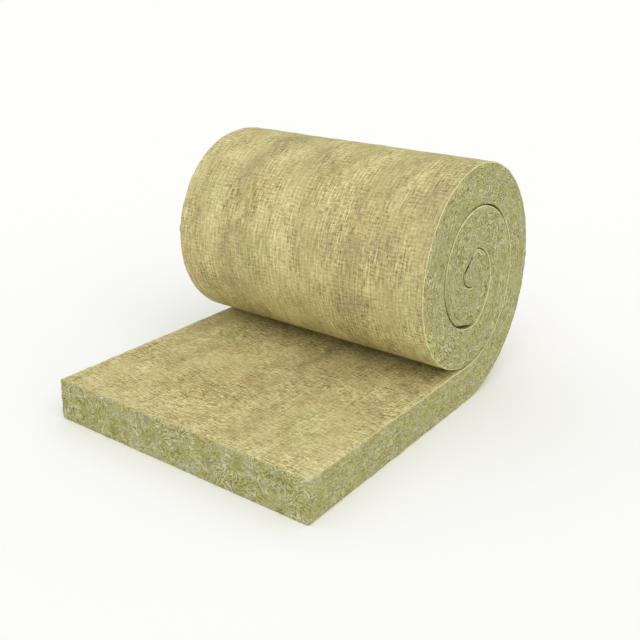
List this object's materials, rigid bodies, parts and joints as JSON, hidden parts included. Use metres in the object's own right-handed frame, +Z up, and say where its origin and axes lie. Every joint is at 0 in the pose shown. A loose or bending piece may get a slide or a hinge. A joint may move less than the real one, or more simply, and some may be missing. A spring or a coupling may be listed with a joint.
{
  "type": "mineral wool insulation roll",
  "caption": "Soft mineral-wool insulation mat wound into a roll, with its outer end laid out flat on the floor as a tongue.",
  "frame": {"origin": "centre of the overall box, on the floor", "axes": "+X along the roll's axis, the laid-out tongue points to -Y and the roll's back to +Y, +Z up"},
  "size_m": [1, 1.3288, 0.838],
  "materials": {
    "wool": "matte, felted fibres"
  },
  "bodies": {
    "root": {"wool_mat": "wool"}
  },
  "joints": []
}
